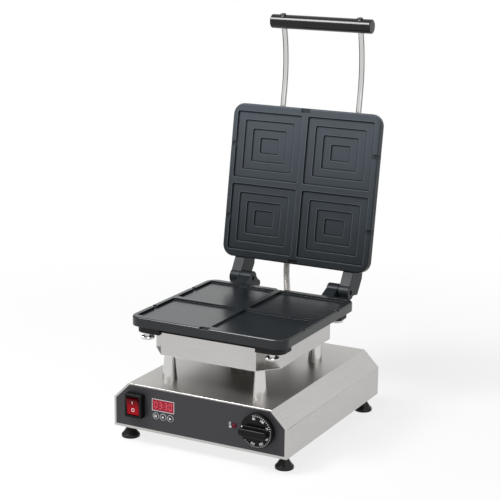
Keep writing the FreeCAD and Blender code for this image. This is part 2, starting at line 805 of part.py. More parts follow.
def make_hinge():
    arm_outer = d.plate_width / 2 - d.arm_inset
    arm_inner = arm_outer - d.arm_width
    lug_outer = arm_inner - d.hinge_side_gap
    lug_inner = lug_outer - d.lug_width
    radius = d.barrel_radius
    flank = WEB_FLANK * radius
    plate_rear = hinge_y - d.hinge_offset
    stop_offset = d.arm_heel + d.moving_gap + d.stop_radius
    stop = turned_open(stop_offset, (d.arm_heel_low + d.arm_heel_high) / 2)
    axis = (hinge_y, hinge_z)
    for name, side in (("left", -1), ("right", 1)):
        body = new_body("hinge_lug_" + name)
        low, high = span(side, lug_inner, lug_outer)
        web = polygon(
            (plate_rear, plate_bottom + d.plate_edge), (hinge_y, hinge_z - WEB_ROOT * radius),
            (stop[0], stop[1] - WEB_ROOT * d.stop_boss), (stop[0], stop[1] + WEB_ROOT * d.stop_boss),
            (hinge_y + flank, hinge_z + flank), (hinge_y - flank, hinge_z + flank),
            (plate_rear, plate_top - d.plate_edge))
        extrude(body, "YZ", low, high, web)
        extrude(body, "YZ", low, high, circle(axis, radius))
        extrude(body, "YZ", low, high, circle(stop, d.stop_boss))
        extrude(body, "YZ", *span(side, lug_outer - d.lug_width / 2, lug_outer + d.stop_length),
                circle(stop, d.stop_radius))
        cut(body, "YZ", low, high, circle(axis, d.pin_radius + d.fixed_fit))

        body = new_body("hinge_arm_" + name, lid)
        low, high = span(side, arm_inner, arm_outer)
        web = polygon(
            (-d.hinge_offset, lid_face + d.plate_edge), (-flank, -flank),
            (flank, -WEB_BACK * radius),
            (d.arm_heel, d.arm_heel_low), (d.arm_heel, d.arm_heel_high),
            (d.arm_flat - d.hinge_offset, d.arm_height), (-d.hinge_offset, d.arm_height))
        extrude(body, "YZ", low, high, web)
        extrude(body, "YZ", low, high, circle((0, 0), radius))
        cut(body, "YZ", low, high, circle((0, 0), d.pin_radius + d.running_fit))

        start, end = span(side, lug_inner + d.pin_recess, arm_outer - d.pin_recess)
        body = new_body("hinge_pin_" + name)
        extrude(body, "YZ", start, end, circle(axis, d.pin_radius))


def make_handle():
    grip_reach = lid_front + d.grip_lead
    bend_start = lid_front + d.bend_lead
    drop = rod_height - d.grip_height
    run = grip_reach - bend_start
    bend_radius = (run.value ** 2 + drop.value ** 2) / (2 * drop.value)
    bend = Size(math.degrees(2 * math.atan(drop.value / run.value)),
                f"(2 * atan({(drop / run).formula}) / 1 deg)")
    bend_angle = math.radians(bend.value)
    sink = (lid_plate_y - tray_length / 2 + d.rod_sink).value
    height = rod_height.value
    for name, side in (("left", -1), ("right", 1)):
        x = side * rod_x.value

        def on_bend(angle):
            return FreeCAD.Vector(x, -bend_start.value - bend_radius * math.sin(angle),
                                  height - bend_radius * (1 - math.cos(angle)))

        start = FreeCAD.Vector(x, sink, height)
        arc_end = on_bend(bend_angle)
        heading = FreeCAD.Vector(0, -math.cos(bend_angle), -math.sin(bend_angle))
        path = Part.Wire([
            Part.LineSegment(start, on_bend(0)).toShape(),
            Part.Arc(on_bend(0), on_bend(bend_angle / 2), arc_end).toShape(),
            Part.LineSegment(arc_end, arc_end + heading * d.grip_radius.value).toShape()])
        rim = Part.Wire([Part.Circle(start, FreeCAD.Vector(0, -1, 0), d.rod_radius.value).toShape()])
        rod = doc.addObject("Part::Feature", "handle_rod_" + name)
        rod.Label = "handle_rod_" + name
        rod.Shape = path.makePipeShell([rim], True, False)
        rod.setExpression("Placement", lid)
        parts.append(rod)

        cap_seat = " * ".join([lid, place(side * rod_x, -grip_reach, d.grip_height, 90 + bend),
                               place(0, 0, d.grip_radius + d.cap_gap)])
        body = new_body("grip_cap_" + name, cap_seat)
        cap = extrude(body, "XY", 0, d.cap_height, circle((0, 0), d.cap_radius))
        round_edges(body, cap, d.cap_round, lies_at("Z", d.cap_height))

    body = new_body("handle_grip", lid + " * " + place(0, -grip_reach, d.grip_height))
    half = rod_x + d.grip_overhang
    bar = extrude(body, "YZ", -half, half, circle((0, 0), d.grip_radius))
    round_edges(body, bar, d.grip_edge, lambda edge: lies_at("X", half)(edge) or lies_at("X", -half)(edge))
    holes = new_drawing(body, "XZ", 0, [
        circle((side * rod_x, 0), d.rod_radius + d.fixed_fit) for side in (-1, 1)])
    holes.setExpression("AttachmentOffset", place(0, 0, 0, bend))
    drilling = body.newObject("PartDesign::Pocket", "Drilling")
    drilling.Profile = holes
    drilling.Midplane = True
    through_grip = 4 * d.grip_radius
    drilling.setExpression("Length", through_grip.formula)


def make_conduit():
    body = new_body("conduit_gland_base")
    centre = (d.base_gland_x, base_gland_y)
    mouth_z = base_top + d.base_gland_height
    extrude(body, "XY", base_top, mouth_z, circle(centre, d.gland_radius), circle(centre, d.gland_bore))

    body = new_body("conduit_gland_lid", lid)
    wall = lid_plate_y + tray_length / 2
    lid_centre = (d.lid_gland_x, lid_gland_height)
    extrude(body, "XZ", wall, wall + d.lid_gland_length, circle(lid_centre, d.gland_radius),
            circle(lid_centre, d.gland_bore))

    start = FreeCAD.Vector(centre[0].value, centre[1].value, mouth_z.value)
    lid_mouth = wall + d.lid_gland_length + d.moving_gap
    lid_run = [turned_open(lid_mouth + reach, lid_gland_height) for reach in (d.conduit_lid_run, as_size(0))]
    points = [start] + [start + FreeCAD.Vector(*step) for step in CONDUIT_ROUTE]
    points += [FreeCAD.Vector(d.lid_gland_x.value, y.value, z.value) for y, z in lid_run]
    path, length = rounded_path(points)
    heading = points[1] - points[0]
    rim = Part.Wire([Part.Circle(start, heading, d.conduit_radius.value).toShape()])
    conduit = doc.addObject("Part::Feature", "flex_conduit")
    conduit.Label = "flex_conduit"
    conduit.Shape = path.makePipeShell([rim], True, False)
    parts.append(conduit)
    section = math.pi * d.conduit_radius.value ** 2
    print(f"conduit length {length:.1f} volume ratio {conduit.Shape.Volume / (section * length):.4f}")


def rounded_path(points):
    # Straight runs joined by tangent arcs, each as large as the runs beside it allow.
    share = 0.45
    edges = []
    length = 0.0
    here = points[0]
    radii = []
    for before, corner, after in zip(points, points[1:], points[2:]):
        back = before - corner
        ahead = after - corner
        trim = share * min(back.Length, ahead.Length)
        turn = math.pi - back.getAngle(ahead)
        radius = trim / math.tan(turn / 2)
        back.normalize()
        ahead.normalize()
        bisector = back + ahead
        bisector.normalize()
        arc_start = corner + back * trim
        arc_end = corner + ahead * trim
        middle = corner + bisector * (radius / math.cos(turn / 2) - radius)
        edges.append(Part.LineSegment(here, arc_start).toShape())
        edges.append(Part.Arc(arc_start, middle, arc_end).toShape())
        length += (arc_start - here).Length + radius * turn
        here = arc_end
        radii.append(radius)
    edges.append(Part.LineSegment(here, points[-1]).toShape())
    length += (points[-1] - here).Length
    print("conduit bend radii", " ".join(f"{radius:.1f}" for radius in radii))
    return Part.Wire(edges), length


def make_switch():
    body = new_body("switch_housing")
    x, z = switch_x, switch_z
    bezel_front = panel_front - d.bezel_depth
    bezel = extrude(body, "XZ", bezel_front, panel_front,
                    rounded_box(*centred(x, z, switch_body_width + 2 * d.bezel_border,
                                         switch_body_height + 2 * d.bezel_border), d.bezel_round))
    round_edges(body, bezel, d.bezel_round * BEZEL_ROUNDING, lies_at("Y", bezel_front))
    extrude(body, "XZ", panel_front - d.bezel_depth / 2, panel_front + d.switch_body_depth,
            box(*centred(x, z, switch_body_width, switch_body_height)))
    cut(body, "XZ", bezel_front, bezel_front + d.well_depth, box(*centred(x, z, well_width, well_height)))
    pivot_y = front - d.rocker_pivot
    pin_reach = d.rocker_width / 2 + d.rocker_side_gap + d.rocker_pin
    pin_room = pin_reach + d.moving_gap
    cut(body, "YZ", x - pin_room, x + pin_room, circle((pivot_y, z), d.rocker_pin_radius + d.running_fit))

    body = new_body("switch_rocker", place(x, pivot_y, z, d.rocker_tilt))
    half = d.rocker_height / 2
    profile = polygon((-d.rocker_front, half), (d.rocker_dish - d.rocker_front, 0), (-d.rocker_front, -half),
                      (d.rocker_back, -half), (d.rocker_back, half))
    extrude(body, "YZ", -(d.rocker_width / 2), d.rocker_width / 2, profile)
    extrude(body, "YZ", -pin_reach, pin_reach, circle((0, 0), d.rocker_pin_radius))


def make_timer():
    body = new_body("display_window")
    width = d.display_width - 2 * d.sheet_gap
    height = d.display_height - 2 * d.sheet_gap
    extrude(body, "XZ", panel_front, front, box(*centred(display_x, display_z, width, height)))

    module_z = (display_z + d.display_height / 2 + button_z - d.button_radius) / 2
    back = panel_front - d.button_proud + d.button_length
    body = new_body("timer_module")
    extrude(body, "XZ", inner_front, inner_front + d.module_depth,
            box(*centred(display_x, module_z, d.module_width, d.module_height)))
    cut(body, "XZ", inner_front, back + d.button_travel + d.moving_gap,
        *[circle((x, button_z), d.button_radius + d.moving_gap) for name, x in button_places])

    for name, x in button_places:
        body = new_body("timer_button_" + name)
        extrude(body, "XZ", panel_front - d.button_proud, back, circle((x, button_z), d.button_radius))


def make_lamp():
    body = new_body("indicator_lamp", place(lamp_x, panel_front, lamp_z, 90))
    flange = d.lamp_flange_depth
    revolve(body, "XZ", polygon(
        (0, -d.lamp_length), (d.lamp_radius, -d.lamp_length), (d.lamp_radius, 0), (d.lamp_flange, 0),
        (d.lamp_flange, flange), (d.lamp_radius, flange),
        (d.lamp_radius * LAMP_CROWN, d.lamp_dome), (0, d.lamp_dome)))


def make_thermostat():
    axis = (knob_x, knob_z)
    skirt_back = panel_front - d.knob_stand_off
    skirt_front = skirt_back - d.knob_skirt
    wing_front = skirt_front - d.wing_depth
    body = new_body("thermostat_knob")
    skirt = extrude(body, "XZ", skirt_front, skirt_back, circle(axis, d.knob_radius))
    round_edges(body, skirt, d.knob_edge, lies_at("Y", skirt_front))
    wing_low = (knob_x - d.wing_length / 2, knob_z - d.wing_width / 2)
    wing_high = (knob_x + d.wing_length / 2, knob_z + d.wing_width / 2)
    wing = extrude(body, "XZ", wing_front, skirt_back, rounded_box(wing_low, wing_high, d.wing_round))
    round_edges(body, wing, d.knob_edge, lies_at("Y", wing_front))
    shaft_front = skirt_back - d.shaft_in_knob
    shaft_back = inner_front + d.shaft_in_body
    cut(body, "XZ", shaft_front, skirt_back, circle(axis, d.shaft_radius + d.fixed_fit))

    body = new_body("knob_shaft")
    extrude(body, "XZ", shaft_front + d.fixed_fit, shaft_back, circle(axis, d.shaft_radius))

    body = new_body("thermostat_body")
    extrude(body, "XZ", inner_front, inner_front + d.thermostat_depth,
            box(*centred(knob_x, knob_z, d.thermostat_size, d.thermostat_size)))
    cut(body, "XZ", inner_front, shaft_back + d.moving_gap, circle(axis, d.shaft_radius + d.running_fit))


def make_wiring():
    body = new_body("mains_gland")
    axis = (mains_x, mains_z)
    outer = rear + d.mains_outside
    inner = rear - d.mains_inside
    extrude(body, "XZ", inner, outer, circle(axis, d.mains_radius))
    extrude(body, "XZ", rear, rear + d.mains_flange_depth, circle(axis, d.mains_flange))
    cut(body, "XZ", inner, outer, circle(axis, d.mains_bore))

    body = new_body("terminal_block")
    floor_top = d.base_clearance + d.sheet
    extrude(body, "XY", floor_top, floor_top + d.terminal_height,
            box(*centred(d.terminal_x, rear - d.terminal_inset, d.terminal_width, d.terminal_length)))


make_cabinet()
make_feet()
make_pillars()
make_lower_plates()
make_upper_plates()
make_thumb_screws()
make_hinge()
make_handle()
make_conduit()
make_switch()
make_timer()
make_lamp()
make_thermostat()
make_wiring()
doc.recompute()

for item in doc.Objects:
    if "Invalid" in item.State or "Error" in item.State:
        raise RuntimeError(f"{item.Label} did not build: {item.State}")
for piece in parts:
    if piece.Shape.isNull() or not piece.Shape.isValid():
        raise RuntimeError(f"{piece.Label} has no valid shape")

os.makedirs("parts", exist_ok=True)
for piece in parts:
    piece.Shape.exportStep(f"parts/{piece.Label}.step")
print(len(parts), "pieces written")
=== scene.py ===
import json
import math
import bmesh
import bpy
from mathutils import Matrix, Vector
from mathutils.bvhtree import BVHTree


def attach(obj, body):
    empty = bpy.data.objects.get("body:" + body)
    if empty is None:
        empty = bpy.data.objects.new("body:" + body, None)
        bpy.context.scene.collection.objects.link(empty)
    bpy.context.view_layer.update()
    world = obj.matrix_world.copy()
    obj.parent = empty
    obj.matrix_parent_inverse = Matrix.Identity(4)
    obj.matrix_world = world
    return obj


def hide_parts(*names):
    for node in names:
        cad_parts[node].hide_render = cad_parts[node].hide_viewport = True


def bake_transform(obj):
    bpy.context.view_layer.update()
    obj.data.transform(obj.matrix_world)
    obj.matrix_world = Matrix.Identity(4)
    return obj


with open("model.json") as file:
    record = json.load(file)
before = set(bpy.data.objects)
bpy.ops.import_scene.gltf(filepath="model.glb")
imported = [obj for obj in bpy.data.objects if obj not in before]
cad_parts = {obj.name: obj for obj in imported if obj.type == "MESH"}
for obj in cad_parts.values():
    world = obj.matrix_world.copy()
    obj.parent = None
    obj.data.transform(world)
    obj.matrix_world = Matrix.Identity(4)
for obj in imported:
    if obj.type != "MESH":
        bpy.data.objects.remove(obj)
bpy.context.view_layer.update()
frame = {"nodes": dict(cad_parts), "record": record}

slotOf = {part["node"]: part["material_slot"] for part in frame["record"]["subparts"]}
bodyOf = {node: body for body, nodes in frame["record"]["behaviour"]["bodies"].items() for node in nodes}
mm = 0.001
hingeLine = Vector((0, 116, 212.5)) * mm
openAngle = -99.0
lidOpen = Matrix.Translation(hingeLine) @ Matrix.Rotation(math.radians(openAngle), 4, "X")
faceFront = Matrix.Rotation(math.radians(90), 4, "X")  # flat work turned to face the operator
faceBack = Matrix.Rotation(math.radians(-90), 4, "X")
panelFace = -213.2
joinWithin = 1e-7  # metres
print("frame loaded:", len(frame["nodes"]), "nodes")


def moved(x, y, z):
    return Matrix.Translation(Vector((x, y, z)) * mm)


class Tap:  # a shader socket that takes part in sums
    def __init__(self, tree, socket=None):
        self.tree = tree
        self.socket = socket

    def node(self, kind, settings=None, sockets=None, out=0):
        made = self.tree.nodes.new("ShaderNode" + kind)
        for key, value in (settings or {}).items():
            setattr(made, key, value)
        for key, value in (sockets or {}).items():
            if isinstance(value, Tap):
                self.tree.links.new(value.socket, made.inputs[key])
            else:
                made.inputs[key].default_value = value
        return Tap(self.tree, made.outputs[out])

    def sums(self, operation, first, second):
        return self.node("Math", {"operation": operation}, {0: first, 1: second})

    def __add__(self, other):
        return self.sums("ADD", self, other)

    def __radd__(self, other):
        return self.sums("ADD", other, self)

    def __sub__(self, other):
        return self.sums("SUBTRACT", self, other)

    def __rsub__(self, other):
        return self.sums("SUBTRACT", other, self)

    def __mul__(self, other):
        return self.sums("MULTIPLY", self, other)

    def __rmul__(self, other):
        return self.sums("MULTIPLY", other, self)

    def __abs__(self):
        return self.sums("ABSOLUTE", self, 0)

    def atLeast(self, other):
        return self.sums("MAXIMUM", self, other)

    def atMost(self, other):
        return self.sums("MINIMUM", self, other)

    def __gt__(self, other):
        return self.sums("GREATER_THAN", self, other)


def finishNamed(name, fixed):
    made = bpy.data.materials.new(name)
    made.use_nodes = True
    tree = made.node_tree
    shader = tree.nodes["Principled BSDF"]
    for key, value in fixed.items():
        shader.inputs[key].default_value = value
    return made, Tap(tree), shader


def joinUp(tap, shader, links):
    for key, value in links.items():
        tap.tree.links.new(value.socket, shader.inputs[key])


def objectPlace(tap, scale=(1, 1, 1)):
    return tap.node("Mapping", {}, {"Vector": tap.node("TexCoord", out="Object"), "Scale": scale})


def grains(tap, place, scale, detail=3.0):
    return tap.node("TexNoise", {}, {"Vector": place, "Scale": scale, "Detail": detail, "Roughness": 0.6})


def blendShade(tap, amount, low, high):
    return tap.node("Mix", {"data_type": "RGBA"}, {0: amount, 6: low, 7: high}, out=2)


def grey(value, warm=0.0):
    return (value * (1 + warm), value, value * (1 - warm), 1)


def bumped(tap, height, strength, distance):
    return tap.node("Bump", {}, {"Height": height, "Strength": strength, "Distance": distance})


# the under shade values paint shade onto steel faces that look down
brushedLook = {"dark": 0.40, "light": 0.60, "warm": 0.022, "roughLow": 0.15, "roughSpan": 0.13, "fine": 1500,
               "coarse": 14, "cloud": 9.0, "streakShare": 0.7, "cloudRough": 0.06, "bump": (0.06, 0.0002),
               "film": 0.92, "filmWarm": 1.5, "filmRough": 0.15, "underShade": (0.34, 0.44), "underShadeWarm": 0.1,
               "underShadeRough": 0.2}
faceLimits = {"front": 0.5, "over": 0.9, "under": 0.7}  # how far a normal leans before its face counts


def brushedSteel(name, along="Y", look=brushedLook):
    made, tap, shader = finishNamed(name, {"Metallic": 1.0})
    stretch = {axis: tuple(look["coarse" if letter == axis else "fine"] for letter in "XYZ")
               for axis in (along, "X")}
    lengthwise, across = (grains(tap, objectPlace(tap, stretch[axis]), 1.0) for axis in (along, "X"))
    normal = tap.node("TexCoord", out="Normal")
    facing, level = (tap.node("SeparateXYZ", {}, {0: normal}, out=axis) for axis in "YZ")
    front = (facing * facing) > faceLimits["front"]
    over, under = level > faceLimits["over"], (0 - level) > faceLimits["under"]
    streak = lengthwise * (1 - front) + across * front
    cloud = grains(tap, objectPlace(tap), look["cloud"], 2.0)
    shade = streak * look["streakShare"] + cloud * (1 - look["streakShare"])
    clean, film = (1, 1, look["warm"]), (look["film"], look["film"], look["warm"] * look["filmWarm"])
    # faces that look down get a painted shade: darker, warmer and rougher steel
    bright, filmed, paintedUnderShade = (
        blendShade(tap, shade, grey(look["dark"] * low, warm), grey(look["light"] * high, warm))
        for low, high, warm in (clean, film, (*look["underShade"], look["underShadeWarm"])))
    rough = streak * look["roughSpan"] + cloud * look["cloudRough"] + look["roughLow"]
    joinUp(tap, shader, {
        "Base Color": blendShade(tap, under, blendShade(tap, over, bright, filmed), paintedUnderShade),
        "Roughness": rough + over * look["filmRough"] + under * look["underShadeRough"],
        "Normal": bumped(tap, streak, *look["bump"])})
    return made


polish = {"cloud": 25.0, "lathe": (60, 60, 1800), "darker": 0.92, "warm": (0.01, 0.015), "cloudRough": 0.05,
          "latheRough": 0.06, "bump": (0.02, 0.0001)}


def polishedSteel(name, value=0.62, rough=0.06):
    made, tap, shader = finishNamed(name, {"Metallic": 1.0})
    cloud = grains(tap, objectPlace(tap), polish["cloud"], 2.0)
    lathed = grains(tap, objectPlace(tap, polish["lathe"]), 1.0, 2.0)
    low, high = (grey(value * share, warm) for share, warm in zip((polish["darker"], 1), polish["warm"]))
    joinUp(tap, shader, {
        "Base Color": blendShade(tap, cloud, low, high),
        "Roughness": cloud * polish["cloudRough"] + lathed * polish["latheRough"] + rough,
        "Normal": bumped(tap, lathed, *polish["bump"])})
    return made


coat = {"speck": 1400.0, "cloud": 14.0, "wipe": (30, 8, 30), "coatRough": 0.30, "wipeCoat": 0.12,
        "cloudRough": 0.12, "speckRough": 0.06, "heightMix": (0.6, 0.4), "shadeMix": (0.35, 0.4, 0.25),
        "bump": (0.10, 0.0003)}


def coatGrain(tap):
    place = objectPlace(tap)
    speck, cloud = grains(tap, place, coat["speck"], 2.0), grains(tap, place, coat["cloud"], 4.0)
    height = speck * coat["heightMix"][0] + cloud * coat["heightMix"][1]
    rough = cloud * coat["cloudRough"] + speck * coat["speckRough"]
    return speck, cloud, rough, bumped(tap, height, *coat["bump"])


def tinted(value, tint):
    return tuple(value * part for part in tint) + (1,)


def coatedPlate(name, dark, light, tint, rough, gloss=0.22):
    made, tap, shader = finishNamed(name, {"Coat Roughness": coat["coatRough"], "Specular IOR Level": gloss})
    speck, cloud, grainRough, bump = coatGrain(tap)
    wipe = grains(tap, objectPlace(tap, coat["wipe"]), 1.0, 3.0)
    speckShare, cloudShare, wipeShare = coat["shadeMix"]
    shade = speck * speckShare + cloud * cloudShare + wipe * wipeShare
    joinUp(tap, shader, {
        "Base Color": blendShade(tap, shade, tinted(dark, tint), tinted(light, tint)),
        "Roughness": grainRough + rough, "Coat Weight": wipe * coat["wipeCoat"], "Normal": bump})
    return made


steppedFace = {"centreY": -173.0, "pitch": (69.5, 65.0), "half": (64.0, 59.5), "corner": 4.0, "steps": 4,
               "inset": 15.0, "footWide": 3.0, "footDepth": 0.96, "lipWide": 1.3, "lipHighlightShare": 0.65,
               "plateWidth": 286.0, "plateLength": 276.0, "ventWide": (8.0, 17.0), "ventReach": (9.5, 8.0),
               "ventShade": 0.5, "paintedShadeRough": 0.15, "cloudMottle": 0.25, "speckMottle": 0.3,
               "shadedHingeEnd": 0.020, "litHandleEnd": 0.074, "paintedShade": 0.002, "lipHighlightTone": 0.16}


def stepMarks(tap, cfg, across, along):  # painted shade at the foot of each step and in the vents, a painted highlight on each step's lip
    spread = [abs(abs(side) - pitch) for side, pitch in zip((across, along), cfg["pitch"])]
    pastSide = abs(across) - (cfg["plateWidth"] / 2 - cfg["ventReach"][0])
    pastEnd = abs(along) - (cfg["plateLength"] / 2 - cfg["ventReach"][1])
    sideVents = (pastSide > 0) * ((cfg["ventWide"][0] / 2 - spread[1]) > 0)
    ribVents = (pastEnd > 0) * ((cfg["ventWide"][1] / 2 - abs(across)) > 0)
    # the vent notches get a painted shade
    paintedShade, paintedHighlight = (sideVents + ribVents) * cfg["ventShade"], 0
    for level in range(cfg["steps"]):
        straight = [half - level * cfg["inset"] - cfg["corner"] for half in cfg["half"]]
        over = [side - half for side, half in zip(spread, straight)]
        acrossOver, alongOver = (side.atLeast(0) for side in over)
        reach = tap.sums("SQRT", acrossOver * acrossOver + alongOver * alongOver, 0)
        gap = reach + over[0].atLeast(over[1]).atMost(0) - cfg["corner"]
        # painted shade that fades out from the foot of each step
        paintedShade = ((0 - gap) > 0) * (gap * (1 / cfg["footWide"]) + 1).atLeast(0) + paintedShade
        # painted highlight along the lip of each step
        paintedHighlight = (gap > 0) * (1 - gap * (1 / cfg["lipWide"])).atLeast(0) + paintedHighlight
    return paintedShade, paintedHighlight


def steppedPlate(name, cfg, tint, rough, gloss):
    made, tap, shader = finishNamed(name, {"Coat Roughness": coat["coatRough"], "Specular IOR Level": gloss})
    flat = lidOpen.inverted()
    shift = flat.translation - Vector((0, cfg["centreY"], 0)) * mm
    local = tap.node("Mapping", {}, {"Vector": tap.node("TexCoord", out="Object"),
                                     "Rotation": flat.to_euler(), "Location": shift})
    across, along = (tap.node("SeparateXYZ", {}, {0: local}, out=axis) * (1 / mm) for axis in "XY")
    paintedShade, paintedHighlight = stepMarks(tap, cfg, across, along)
    speck, cloud, grainRough, bump = coatGrain(tap)
    mottle = (cloud - 0.5) * cfg["cloudMottle"] + (speck - 0.5) * cfg["speckMottle"]
    # painted light: the plate is darker towards the hinge end and lighter towards the handle end, with random
    # mottle
    paintedLightFall = 0.5 - along * (1 / cfg["plateLength"]) + mottle
    hue = {key: tinted(cfg[key], tint) for key in ("shadedHingeEnd", "litHandleEnd", "paintedShade", "lipHighlightTone")}
    shade = blendShade(tap, paintedLightFall.atLeast(0).atMost(1), hue["shadedHingeEnd"], hue["litHandleEnd"])
    # painted shade at the step feet and vents, then a painted highlight on the step lips
    shade = blendShade(tap, paintedShade * cfg["footDepth"], shade, hue["paintedShade"])
    joinUp(tap, shader, {
        "Base Color": blendShade(tap, paintedHighlight * cfg["lipHighlightShare"], shade, hue["lipHighlightTone"]),
        "Roughness": grainRough + paintedShade * cfg["paintedShadeRough"] + rough, "Normal": bump})
    return made


mould = {"cloud": 45.0, "shadeMix": (0.4, 0.6), "cloudRough": 0.14, "speckRough": 0.06, "bumpDeep": 0.0002}


def mouldedPlastic(name, low, high, rough, grain=900.0, bump=0.06, fixed=None):
    made, tap, shader = finishNamed(name, fixed or {})
    place = objectPlace(tap)
    speck, cloud = grains(tap, place, grain, 2.0), grains(tap, place, mould["cloud"], 3.0)
    shade = speck * mould["shadeMix"][0] + cloud * mould["shadeMix"][1]
    joinUp(tap, shader, {
        "Base Color": blendShade(tap, shade, low + (1,), high + (1,)),
        "Roughness": cloud * mould["cloudRough"] + speck * mould["speckRough"] + rough,
        "Normal": bumped(tap, speck, bump, mould["bumpDeep"])})
    return made


glow = {"cloud": 160.0, "gloss": 0.08, "cloudRough": 0.12, "ripple": 0.3}


def glowingRed(name, low, high, strength, rough, fade=None):
    fixed = {"Emission Strength": strength, "Specular IOR Level": glow["gloss"]}
    made, tap, shader = finishNamed(name, fixed)
    place = objectPlace(tap)
    cloud = grains(tap, place, glow["cloud"], 2.0)
    lit = cloud
    if fade:  # painted shade: darker towards the top of the rocker, brighter over its lower half
        height = tap.node("SeparateXYZ", {}, {0: place}, out="Z") * (1 / mm)
        rise = (fade["dark"] - height) * (1 / (fade["dark"] - fade["bright"]))
        lit = (rise + (cloud - 0.5) * glow["ripple"]).atLeast(0).atMost(1)
    shade = blendShade(tap, lit, low + (1,), high + (1,))
    joinUp(tap, shader, {"Base Color": shade, "Emission Color": shade,
                         "Roughness": cloud * glow["cloudRough"] + rough})
    return made


slate = (0.72, 0.98, 1.20)
charcoal = ((0.021, 0.019, 0.023), (0.029, 0.027, 0.031))
lowGloss = {"Specular IOR Level": 0.30}
finishes = {
    "stainless_sheet": brushedSteel("brushed base sheet"),
    "panel_charcoal": mouldedPlastic("charcoal panel film", *charcoal, 0.36, 1600,
                                     fixed={"Specular IOR Level": 0.42}),
    "nonstick_plate": coatedPlate("used non-stick coat", 0.006, 0.013, slate, 0.12, 0.38),
    "heater_dark": coatedPlate("black heater casting", 0.006, 0.012, (1, 1, 1), 0.5),
    "hinge_casting": coatedPlate("dark hinge casting", 0.008, 0.016, slate, 0.34, 0.15),
    "element_sheath": brushedSteel("oxidised element sheath", "Z", dict(brushedLook, dark=0.16, light=0.28)),
    "polished_steel": polishedSteel("polished steel"),
    "foot_rubber": mouldedPlastic("black foot rubber", (0.006, 0.006, 0.006), (0.014, 0.014, 0.014), 0.26,
                                  500, 0.08, lowGloss),
    "black_plastic": mouldedPlastic("gloss black plastic", (0.003, 0.003, 0.003), (0.006, 0.006, 0.007), 0.04,
                                    700, 0.02, lowGloss),
    # the unlit lamp lens gets a faint painted glow
    "red_translucent": glowingRed("unlit lamp lens with painted glow", (0.07, 0.008, 0.018), (0.13, 0.015, 0.032), 0.05, 0.2),
    "display_red": glowingRed("red display window", (0.23, 0.014, 0.028), (0.32, 0.022, 0.040), 0.15, 0.22),
    "button_charcoal": mouldedPlastic("charcoal button film", *charcoal, 0.40),
    "conduit_metal": brushedSteel("conduit hose metal", "Z", dict(brushedLook, dark=0.42, light=0.62)),
    "gland_metal": polishedSteel("nickel gland metal", 0.54, 0.18),
    "gland_plastic": mouldedPlastic("black gland nylon", (0.014, 0.014, 0.014), (0.026, 0.026, 0.026), 0.45),
    "inner_plastic": mouldedPlastic("grey inner plastic", (0.10, 0.10, 0.10), (0.16, 0.16, 0.16), 0.45)}
knobBlack = mouldedPlastic("satin black knob", (0.003, 0.003, 0.003), (0.006, 0.006, 0.006), 0.08, 700, 0.02,
                           {"Specular IOR Level": 0.15})
ownFinish = {  # pieces that look unlike the rest of their slot
    "upper_baking_plate": steppedPlate("stepped non-stick coat", steppedFace, (0.82, 0.97, 1.12), 0.28, 0.10),
    # the column under the tray gets a much darker steel than the base
    "cable_column": brushedSteel("dark steel tube", "Z",
                                 dict(brushedLook, dark=0.09, light=0.16, warm=0.06)),
    # the rocker's top is painted darker than its lower half: painted shade
    "switch_rocker": glowingRed("lit rocker plastic", (0.045, 0.001, 0.002), (0.25, 0.002, 0.007), 0.25, 0.10,
                                {"dark": 81.0, "bright": 66.0}),
    "thermostat_knob": knobBlack, "switch_housing": knobBlack}
whiteInk = mouldedPlastic("white print ink", (0.78, 0.78, 0.78), (0.88, 0.88, 0.88), 0.5, 2400)
greyInk = mouldedPlastic("grey print ink", (0.50, 0.50, 0.52), (0.62, 0.62, 0.64), 0.5, 2400)
litRed = glowingRed("lit display bar", (0.55, 0.10, 0.12), (0.66, 0.14, 0.16), 0.3, 0.3)
print("finishes mixed for", len(finishes), "slots")


def finishOf(node):
    return ownFinish.get(node, finishes[slotOf[node]])


def closeMesh(bm, name, smoothAngle=32.0):
    mesh = bpy.data.meshes.new(name)
    bm.to_mesh(mesh)
    bm.free()
    mesh.shade_smooth()
    mesh.set_sharp_from_angle(angle=math.radians(smoothAngle))
    return mesh


def addPiece(name, mesh, body, finish, stands=()):
    piece = bpy.data.objects.new(name, mesh)
    bpy.context.scene.collection.objects.link(piece)
    mesh.materials.clear()
    mesh.materials.append(finish)
    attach(piece, body)
    if stands:
        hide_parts(*stands)
    return piece


def sharpEdges(bm, angle, roomy=0.0):
    found = []
    for edge in bm.edges:
        if len(edge.link_faces) == 2 and edge.calc_face_angle(0) > math.radians(angle):
            if min(face.calc_area() for face in edge.link_faces) >= roomy:
                found.append(edge)
    return found


def roundEdges(bm, edges, width, segments):
    bmesh.ops.bevel(bm, geom=edges, offset=width * mm, affect="EDGES", segments=segments, profile=0.5,
                    material=-1, clamp_overlap=True)


plateCentres = {"lower_baking_plate": moved(0, -57, 212),
                "upper_baking_plate": lidOpen @ moved(0, steppedFace["centreY"], 0.5)}


def partCells(bm, centre):  # plates cut along the middles of their compartments shade evenly
    for axis, half in zip((Vector((1, 0, 0)), Vector((0, 1, 0))), steppedFace["pitch"]):
        for offset in (-half, 0, half):
            bmesh.ops.bisect_plane(bm, geom=bm.verts[:] + bm.edges[:] + bm.faces[:], dist=joinWithin,
                                   plane_co=centre @ (axis * offset * mm), plane_no=centre.to_3x3() @ axis)


softening = {"weld": 2e-6, "flatAngle": 0.4, "sharpAngle": 40.0, "roomyFace": 0.0015, "foldSegments": 4}


